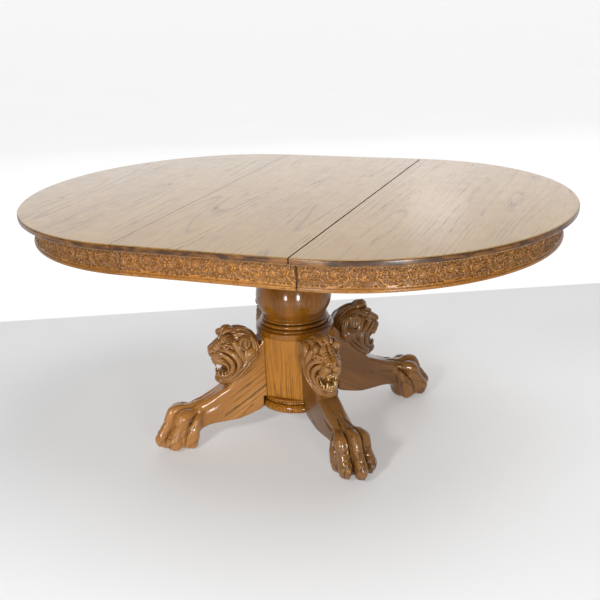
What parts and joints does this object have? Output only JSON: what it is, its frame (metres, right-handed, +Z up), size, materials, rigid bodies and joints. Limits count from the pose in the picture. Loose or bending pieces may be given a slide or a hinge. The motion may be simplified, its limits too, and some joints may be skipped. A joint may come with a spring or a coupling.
{
  "type": "round pedestal table",
  "caption": "Oak extension table with a leaf in its round top, carved aprons, and a turned pedestal on lion-headed paw legs.",
  "frame": {"origin": "on the floor, under the middle of the top", "axes": "+X is the way the right half pulls out, along the long side; -Y is the front; +Z is up"},
  "size_m": [1.7316, 1.2192, 0.762],
  "materials": {
    "oak_top": "gloss varnish",
    "oak_apron": "gloss varnish over pressed carving",
    "oak_column": "gloss varnish",
    "oak_leg": "gloss varnish",
    "oak_head": "gloss varnish over carving",
    "maple_slide": "waxed",
    "birch_dowel": "bare",
    "steel": "dull"
  },
  "bodies": {
    "pedestal": {"fixed_slide_back": "maple_slide", "fixed_slide_front": "maple_slide", "leg_back_left": "oak_leg", "leg_back_right": "oak_leg", "leg_dowel_lower_back_left": "birch_dowel", "leg_dowel_lower_back_right": "birch_dowel", "leg_dowel_lower_front_left": "birch_dowel", "leg_dowel_lower_front_right": "birch_dowel", "leg_dowel_upper_back_left": "birch_dowel", "leg_dowel_upper_back_right": "birch_dowel", "leg_dowel_upper_front_left": "birch_dowel", "leg_dowel_upper_front_right": "birch_dowel", "leg_front_left": "oak_leg", "leg_front_right": "oak_leg", "lion_head_back_left": "oak_head", "lion_head_back_right": "oak_head", "lion_head_front_left": "oak_head", "lion_head_front_right": "oak_head", "pedestal_base_ring": "oak_column", "pedestal_collar": "oak_column", "pedestal_platform": "maple_slide", "pedestal_shaft": "oak_column", "pedestal_urn": "oak_column", "platform_bolt_back_left": "steel", "platform_bolt_back_right": "steel", "platform_bolt_front_left": "steel", "platform_bolt_front_right": "steel", "tie_rod": "steel", "tie_rod_nut_bottom": "steel", "tie_rod_nut_top": "steel", "tie_rod_washer_bottom": "steel", "tie_rod_washer_top": "steel"},
    "left_half": {"left_half_apron": "oak_apron", "left_half_cleat": "maple_slide", "left_half_top": "oak_top", "left_outer_slide_back": "maple_slide", "left_outer_slide_front": "maple_slide", "left_pin_back": "birch_dowel", "left_pin_front": "birch_dowel", "left_pin_middle": "birch_dowel"},
    "right_half": {"right_half_apron": "oak_apron", "right_half_cleat": "maple_slide", "right_half_top": "oak_top", "right_outer_slide_back": "maple_slide", "right_outer_slide_front": "maple_slide", "right_pin_back": "birch_dowel", "right_pin_front": "birch_dowel", "right_pin_middle": "birch_dowel"},
    "left_middle_slides": {"left_middle_slide_back": "maple_slide", "left_middle_slide_front": "maple_slide"},
    "right_middle_slides": {"right_middle_slide_back": "maple_slide", "right_middle_slide_front": "maple_slide"},
    "leaf": {"leaf_apron_back": "oak_apron", "leaf_apron_front": "oak_apron", "leaf_batten_back": "maple_slide", "leaf_batten_front": "maple_slide", "leaf_top": "oak_top"}
  },
  "joints": [
    {"name": "left_half_pull", "type": "slide", "parent": "pedestal", "child": "left_half", "axis": [-1, 0, 0], "range_m": [0, 0.305]},
    {"name": "right_half_pull", "type": "slide", "parent": "pedestal", "child": "right_half", "axis": [1, 0, 0], "range_m": [0, 0.305]},
    {"name": "left_middle_travel", "type": "slide", "parent": "pedestal", "child": "left_middle_slides", "axis": [-1, 0, 0], "range_m": [0, 0.1525]},
    {"name": "right_middle_travel", "type": "slide", "parent": "pedestal", "child": "right_middle_slides", "axis": [1, 0, 0], "range_m": [0, 0.1525]},
    {"name": "leaf_lift", "type": "slide", "parent": "pedestal", "child": "leaf", "axis": [0, 0, 1], "range_m": [0, 0.25]}
  ],
  "couplings": [
    {"joint": "left_middle_travel", "follows": "left_half_pull", "ratio": 0.5},
    {"joint": "right_middle_travel", "follows": "right_half_pull", "ratio": 0.5}
  ]
}
